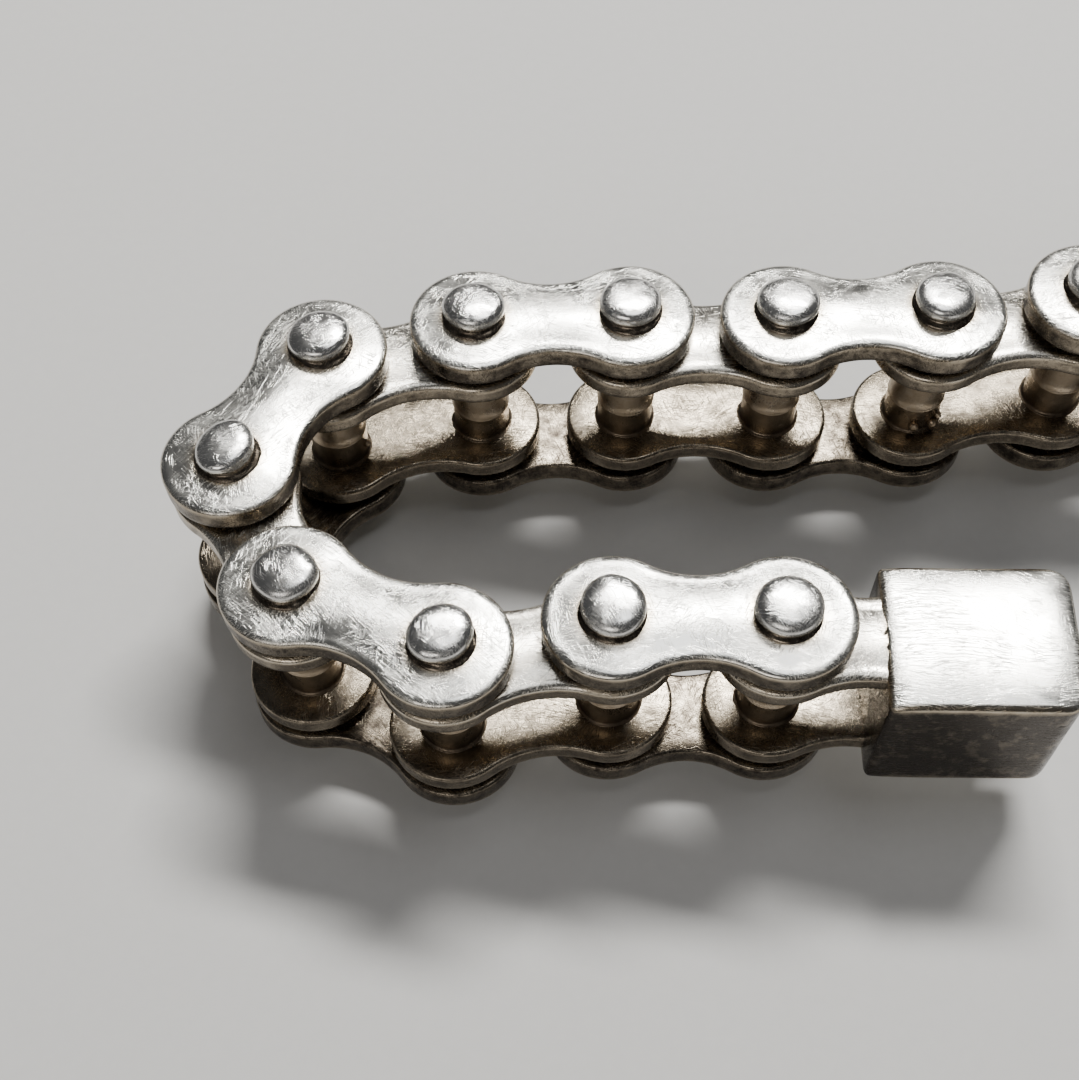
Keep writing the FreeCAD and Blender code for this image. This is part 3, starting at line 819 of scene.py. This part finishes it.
# ------------------------------------------------------------------- materials
class Nodes:
    """Short way to add linked shader nodes to a material."""

    def __init__(self, material):
        material.use_nodes = True
        self.tree = material.node_tree
        self.tree.nodes.clear()

    def add(self, kind, settings=None, **inputs):
        """Add a node. Inputs are numbers, tuples or other nodes' sockets."""
        made = self.tree.nodes.new(kind)
        for name, value in (settings or {}).items():
            setattr(made, name, value)
        for name, value in inputs.items():
            socket = made.inputs[int(name[1:])] if name[0] == "n" else made.inputs[name]
            if isinstance(value, bpy.types.NodeSocket):
                self.tree.links.new(value, socket)
            else:
                socket.default_value = value
        return made

    def sum(self, *sockets):
        """Add sockets together."""
        total = sockets[0]
        for socket in sockets[1:]:
            total = self.add("ShaderNodeMath", {"operation": "ADD"}, n0=total, n1=socket).outputs[0]
        return total

    def times(self, one, two):
        """Multiply two sockets or numbers."""
        return self.add("ShaderNodeMath", {"operation": "MULTIPLY"}, n0=one, n1=two).outputs[0]

    def between(self, value, low, high, to_low=0.0, to_high=1.0):
        """Map a value smoothly from one span to another."""
        made = self.add("ShaderNodeMapRange", {"interpolation_type": "SMOOTHSTEP"}, n0=value)
        for name, number in (("From Min", low), ("From Max", high),
                             ("To Min", to_low), ("To Max", to_high)):
            made.inputs[name].default_value = number
        return made.outputs[0]

    def noise(self, vector, scale, detail=2.0, rough=0.5):
        """Noise between 0 and 1."""
        made = self.add("ShaderNodeTexNoise", n0=vector)
        made.inputs["Scale"].default_value = scale
        made.inputs["Detail"].default_value = detail
        made.inputs["Roughness"].default_value = rough
        return made.outputs[0]

    def stretched(self, vector, turn, stretch):
        """Coordinates turned about Z and then stretched."""
        turned = self.add("ShaderNodeVectorRotate", {"rotation_type": "Z_AXIS"}, n0=vector)
        turned.inputs["Angle"].default_value = math.radians(turn)
        made = self.add("ShaderNodeVectorMath", {"operation": "MULTIPLY"}, n0=turned.outputs[0])
        made.inputs[1].default_value = stretch
        return made.outputs[0]


def scratch_lines(nodes, grain, warped, turn, length, width, sparse, patch):
    """Fine scratches one way, in patches. 1 in a scratch and 0 beside it."""
    run = nodes.stretched(warped, turn, (1 / length, 1 / width, 0.4 / width))
    line = nodes.between(nodes.noise(run, 1.0, 2.0, 0.55), sparse, sparse + 0.1)
    place = nodes.add("ShaderNodeVectorMath", {"operation": "ADD"}, n0=grain)
    place.inputs[1].default_value = (turn * 0.7, turn * 0.3, turn * 0.1)
    where = nodes.between(nodes.noise(place.outputs[0], 1 / patch, 1.0), 0.42, 0.6)
    return nodes.times(line, where)


def silver(name, tone, stain_and_shade_tone, roughness, bump, scratches, satin):
    """Worn silver. tone is clean metal and the second tone is full tarnish and painted shade. satin
    is the turn in degrees and the width in mm of the fine grain. Each of the scratches is
    turn, length, width, sparseness, patch size and weight."""
    material = bpy.data.materials.new(name)
    nodes = Nodes(material)
    grain = nodes.add("ShaderNodeAttribute", {"attribute_name": "grain"}).outputs["Vector"]
    stain_and_shade = nodes.add("ShaderNodeAttribute", {"attribute_name": "tarnish_and_shade"}).outputs["Fac"]
    bend = nodes.add("ShaderNodeTexNoise", n0=grain)
    bend.inputs["Scale"].default_value = 0.22
    bent = nodes.add("ShaderNodeVectorMath", {"operation": "SCALE"}, n0=bend.outputs[1])
    bent.inputs["Scale"].default_value = 1.5
    warped = nodes.add("ShaderNodeVectorMath", {"operation": "ADD"},
                       n0=grain, n1=bent.outputs[0]).outputs[0]
    cuts = []
    for turn, length, width, sparse, patch, weight in scratches:
        line = scratch_lines(nodes, grain, warped, turn, length, width, sparse, patch)
        cuts.append(nodes.times(line, weight))
    lines = nodes.sum(*cuts)
    hair = nodes.noise(nodes.stretched(warped, satin[0], (0.25, 1 / satin[1], 0.6 / satin[1])),
                       1.0, 3.0, 0.7)
    mottle = nodes.noise(grain, 0.45, 4.0, 0.6)
    speck = nodes.noise(grain, 4.5, 3.0, 0.65)
    cloud = nodes.noise(grain, 0.9, 4.0, 0.65)
    # The colour darkens towards the second tone with tarnish and painted shade, broken up by noise.
    patchy = nodes.times(stain_and_shade, nodes.between(cloud, 0.3, 0.7, 0.86, 1.1))
    thin = nodes.times(nodes.between(mottle, 0.5, 0.72), nodes.between(speck, 0.45, 0.7, 0.0, 0.12))
    dull = nodes.sum(patchy, thin)
    colour = nodes.add("ShaderNodeValToRGB", n0=dull)
    ramp = colour.color_ramp
    ramp.elements[0].position = 0.0
    ramp.elements[0].color = (*tone, 1)
    ramp.elements[1].position = 0.88
    ramp.elements[1].color = (*stain_and_shade_tone, 1)
    warm = ramp.elements.new(0.42)
    warm.color = (0.6 * tone[0], 0.52 * tone[1], 0.42 * tone[2], 1)
    rough = nodes.sum(nodes.between(mottle, 0.3, 0.7, roughness - 0.05, roughness + 0.07),
                      nodes.times(lines, 0.16),
                      nodes.between(hair, 0.3, 0.7, -0.03, 0.05))
    height = nodes.sum(nodes.times(lines, -1.0), nodes.times(hair, 0.55), nodes.times(speck, 0.35))
    relief = nodes.add("ShaderNodeBump", Height=height)
    relief.inputs["Strength"].default_value = bump
    relief.inputs["Distance"].default_value = 0.03 * MM
    surface = nodes.add("ShaderNodeBsdfPrincipled", Roughness=rough, Normal=relief.outputs[0])
    surface.inputs["Metallic"].default_value = 1.0
    nodes.tree.links.new(colour.outputs[0], surface.inputs["Base Color"])
    out = nodes.add("ShaderNodeOutputMaterial")
    nodes.tree.links.new(surface.outputs[0], out.inputs[0])
    return material


PLATE_SCRATCHES = [
    (18, 1.5, 0.075, 0.56, 3.0, 0.8), (-37, 1.3, 0.07, 0.57, 2.4, 0.8),
    (71, 1.4, 0.075, 0.57, 2.6, 0.8), (112, 1.2, 0.07, 0.58, 2.2, 0.8),
    (-8, 3.5, 0.1, 0.63, 5.0, 1.0),
]
BLOCK_SCRATCHES = [
    (4, 3.6, 0.09, 0.54, 5.0, 1.0), (-7, 2.8, 0.08, 0.55, 3.5, 0.9),
    (25, 1.6, 0.07, 0.6, 2.5, 0.6), (83, 1.6, 0.07, 0.62, 3.0, 0.5),
]
HEAD_SCRATCHES = [
    (12, 1.2, 0.06, 0.56, 1.6, 0.8), (64, 1.4, 0.06, 0.57, 1.5, 0.8),
    (128, 1.0, 0.05, 0.58, 1.3, 0.7),
]
SILVER = (0.79, 0.78, 0.735)
BROWN = (0.05, 0.041, 0.033)
LOOKS = {
    "plate_silver": (SILVER, BROWN, 0.22, 0.36, PLATE_SCRATCHES, (14, 0.08)),
    "pin_silver": ((0.82, 0.81, 0.785), (0.06, 0.047, 0.036), 0.2, 0.3, HEAD_SCRATCHES, (35, 0.07)),
    "clasp_silver": (SILVER, BROWN, 0.2, 0.34, BLOCK_SCRATCHES, (3, 0.08)),
    "bush_silver": ((0.66, 0.61, 0.54), (0.12, 0.092, 0.066), 0.3, 0.45, HEAD_SCRATCHES, (90, 0.12)),
    "spring_silver": ((0.74, 0.72, 0.69), BROWN, 0.3, 0.45, BLOCK_SCRATCHES, (2, 0.07)),
}
MATERIALS = {name: silver(name, *look) for name, look in LOOKS.items()}


# -------------------------------------------------------------------- assembly
def add_plates(name, body, kind, half_link=False):
    """Top and bottom plate of a link."""
    for place in ("top", "bottom"):
        node = f"{name}_plate_{place}"
        seed = name_seed(node, 0.41)
        if kind == "outer":
            shell = plate_shell(OUTER_LOBE, OUTER_INSIDE, OUTER_FACE, seed)
            tarnish_and_shade = outer_plate_tarnish
        else:
            shell = plate_shell(INNER_LOBE, INNER_INSIDE, INNER_FACE, seed, half_link)
            tarnish_and_shade = inner_plate_tarnish
        if place == "bottom":
            shell.turn_over()
        add_piece(shell, body, node, "plate_silver", tarnish_and_shade)


def add_links():
    """Plates, pins and bushes of the fifteen whole links."""
    for number in range(1, 9):
        name = f"outer_{number}"
        body = name + "_link"
        add_plates(name, body, "outer")
        add_piece(pins_shell(name), body, name + "_pins", "pin_silver", pin_tarnish)
    for number in range(1, 8):
        name = f"inner_{number}"
        body = name + "_link"
        add_plates(name, body, "inner")
        add_piece(bushes_shell(name, (0, 1)), body, name + "_bushes", "bush_silver", bush_tarnish)


def add_block(name, body, end, corner, seed, notch_depth, notch_top, hollow):
    """A notched clasp block with the half link that holds it to its pin."""
    add_plates(name, body, "inner", half_link=True)
    add_piece(bushes_shell(name, (0,)), body, name + "_bush", "bush_silver", bush_tarnish)
    block = cut_away(block_shell(end, corner, seed, hollow),
                     (end - notch_depth, -NOTCH_HALF_WIDTH, NOTCH_FOOT),
                     (end + NOTCH_PAST_END, NOTCH_HALF_WIDTH, notch_top))
    add_piece(block, body, name, "clasp_silver", block_tarnish, SHARP_ANGLE)


def add_clasp():
    """Clasp box, tongue block and the folded tongue."""
    add_block("clasp_box", "clasp_box_link", BOX_END, BOX_CORNER, 3.1,
              BOX_NOTCH_DEPTH, LIP_TOP + 0.02, hollow=True)
    add_block("tongue_block", "tongue_link", TONGUE_END, BLOCK_EDGE, 8.6,
              TONGUE_NOTCH_DEPTH, TONGUE_NOTCH_TOP, hollow=False)
    leaf = strip_shell(base_leaf_path(), LEAF_WIDTH)
    add_piece(leaf, "tongue_link", "tongue_base_leaf", "spring_silver", leaf_tarnish)
    spring = strip_shell(spring_leaf_path(), LEAF_WIDTH)
    add_piece(spring, "spring_leaf", "tongue_spring_leaf", "spring_silver", leaf_tarnish)
    tab = strip_shell(thumb_tab_path(), TAB_WIDTH, grooved=True)
    add_piece(tab, "spring_leaf", "tongue_thumb_tab", "spring_silver", leaf_tarnish)


# ------------------------------------------------------------------ the studio
def add_floor():
    """Plain pale floor under the lowest point."""
    half = 2.5
    mesh = bpy.data.meshes.new("floor")
    level = CAD_BOX[0].z
    mesh.from_pydata([(-half, -half, level), (half, -half, level), (half, half, level),
                      (-half, half, level)], [], [(0, 1, 2, 3)])
    material = bpy.data.materials.new("pale_paper")
    nodes = Nodes(material)
    place = nodes.add("ShaderNodeTexCoord").outputs["Object"]
    cloud = nodes.noise(place, 900.0, 3.0, 0.6)
    colour = nodes.add("ShaderNodeMix", {"data_type": "RGBA"}, n0=cloud)
    colour.inputs[6].default_value = (0.60, 0.595, 0.585, 1)
    colour.inputs[7].default_value = (0.64, 0.635, 0.625, 1)
    surface = nodes.add("ShaderNodeBsdfPrincipled")
    surface.inputs["Roughness"].default_value = 0.85
    nodes.tree.links.new(colour.outputs[2], surface.inputs["Base Color"])
    out = nodes.add("ShaderNodeOutputMaterial")
    nodes.tree.links.new(surface.outputs[0], out.inputs[0])
    mesh.materials.append(material)
    floor = bpy.data.objects.new("floor", mesh)
    bpy.context.scene.collection.objects.link(floor)


def add_light(name, azimuth, elevation, distance, width, height, power, colour):
    """Soft area light aimed at the middle, in metres and watts. Azimuth 0 is +Y, and 90 is +X."""
    turn, rise = math.radians(azimuth), math.radians(elevation)
    ray = Vector((math.sin(turn) * math.cos(rise), math.cos(turn) * math.cos(rise),
                  math.sin(rise)))
    data = bpy.data.lights.new(name, "AREA")
    data.shape = "RECTANGLE"
    data.size = width
    data.size_y = height
    data.energy = power
    data.color = colour
    light = bpy.data.objects.new(name, data)
    light.location = ray * distance
    light.rotation_euler = (-ray).to_track_quat("-Z", "Y").to_euler()
    bpy.context.scene.collection.objects.link(light)


def add_lights():
    """Key from behind on the right, a weak light overhead, a low fill and a dim room."""
    add_light("key", 16, 57, 0.7, 0.34, 0.1, 7.5, (1.0, 0.985, 0.95))
    add_light("top", 60, 80, 0.8, 0.3, 0.3, 0.9, (0.97, 0.985, 1.0))
    add_light("fill", 205, 38, 0.9, 0.5, 0.3, 1.3, (1.0, 0.96, 0.91))
    world = bpy.data.worlds.new("room")
    bpy.context.scene.world = world
    world.use_nodes = True
    background = world.node_tree.nodes["Background"]
    background.inputs[0].default_value = (0.80, 0.81, 0.83, 1)
    background.inputs[1].default_value = 0.085


LENS = 50.0
ELEVATION = math.radians(63.6)
ROLL = -0.0344
SHIFT = 0.185
CAMERA_FROM_HINGE = Vector((-17.36, -53.01, 97.11))


def add_camera():
    """Looks down along +Y at the end of the loop that the clasp box is on."""
    forward = Vector((0, math.cos(ELEVATION), -math.sin(ELEVATION)))
    up = Vector((0, math.sin(ELEVATION), math.cos(ELEVATION)))
    right = Vector((1, 0, 0))
    tilted_right = right * math.cos(ROLL) + up * math.sin(ROLL)
    tilted_up = up * math.cos(ROLL) - right * math.sin(ROLL)
    data = bpy.data.cameras.new("camera")
    data.sensor_fit = "HORIZONTAL"
    data.sensor_width = 36.0
    data.lens = LENS
    data.shift_y = SHIFT
    data.clip_start = 0.005
    camera = bpy.data.objects.new("camera", data)
    turn = Matrix((tilted_right, tilted_up, -forward)).transposed().to_4x4()
    place = (SECOND_HINGE["clasp_box_link"] + CAMERA_FROM_HINGE) * MM
    camera.matrix_world = Matrix.Translation(place) @ turn
    bpy.context.scene.collection.objects.link(camera)
    bpy.context.scene.camera = camera


add_camera()
add_links()
add_clasp()
add_floor()
add_lights()
